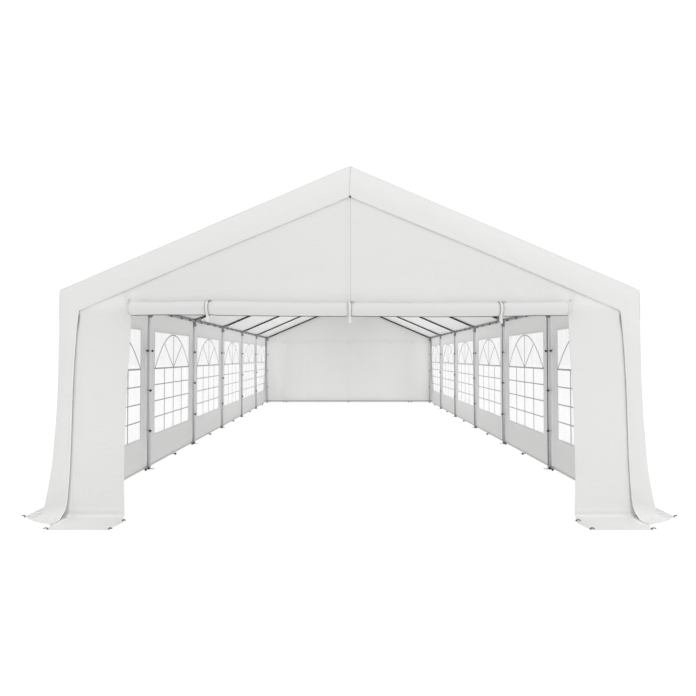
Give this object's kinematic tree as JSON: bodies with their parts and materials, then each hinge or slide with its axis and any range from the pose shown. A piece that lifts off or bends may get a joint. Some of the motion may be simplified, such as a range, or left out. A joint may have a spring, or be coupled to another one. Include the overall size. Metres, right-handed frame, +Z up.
{
  "type": "marquee tent",
  "caption": "Long gabled frame marquee: steel tube frame under a fabric roof, window walls down both sides, a closed back and a front doorway under its rolled-up door",
  "frame": {"origin": "on the ground, at the middle of the footprint", "axes": "+Y runs along the tent from the open front to the closed back, so the doorway faces -Y; +X is to the right of someone looking in; +Z is up"},
  "size_m": [6.6576, 12.84, 3.6249],
  "materials": {
    "frame_steel": "powder-coated dark grey steel tube",
    "roof_cloth": "white coated woven cloth, satin",
    "wall_cloth": "white coated woven cloth, satin",
    "window_film": "clear flexible film"
  },
  "bodies": {
    "root": {"left_leg_1": "frame_steel", "left_leg_2": "frame_steel", "left_leg_3": "frame_steel", "left_leg_4": "frame_steel", "left_leg_5": "frame_steel", "left_leg_6": "frame_steel", "left_leg_7": "frame_steel", "right_leg_1": "frame_steel", "right_leg_2": "frame_steel", "right_leg_3": "frame_steel", "right_leg_4": "frame_steel", "right_leg_5": "frame_steel", "right_leg_6": "frame_steel", "right_leg_7": "frame_steel", "left_rafter_1": "frame_steel", "left_rafter_2": "frame_steel", "left_rafter_3": "frame_steel", "left_rafter_4": "frame_steel", "left_rafter_5": "frame_steel", "left_rafter_6": "frame_steel", "left_rafter_7": "frame_steel", "right_rafter_1": "frame_steel", "right_rafter_2": "frame_steel", "right_rafter_3": "frame_steel", "right_rafter_4": "frame_steel", "right_rafter_5": "frame_steel", "right_rafter_6": "frame_steel", "right_rafter_7": "frame_steel", "left_eave_rail": "frame_steel", "right_eave_rail": "frame_steel", "ridge_rail": "frame_steel", "roof_left": "roof_cloth", "roof_right": "roof_cloth", "valance_left": "roof_cloth", "valance_right": "roof_cloth", "front_border_left": "roof_cloth", "front_border_right": "roof_cloth", "back_border_left": "roof_cloth", "back_border_right": "roof_cloth", "left_wall": "wall_cloth", "right_wall": "wall_cloth", "front_gable": "wall_cloth", "front_panel_left": "wall_cloth", "front_panel_right": "wall_cloth", "back_wall": "wall_cloth", "left_skirt": "wall_cloth", "right_skirt": "wall_cloth", "front_skirt_left": "wall_cloth", "front_skirt_right": "wall_cloth", "back_skirt": "wall_cloth", "door_roll": "wall_cloth", "left_window_film": "window_film", "right_window_film": "window_film"}
  },
  "joints": []
}
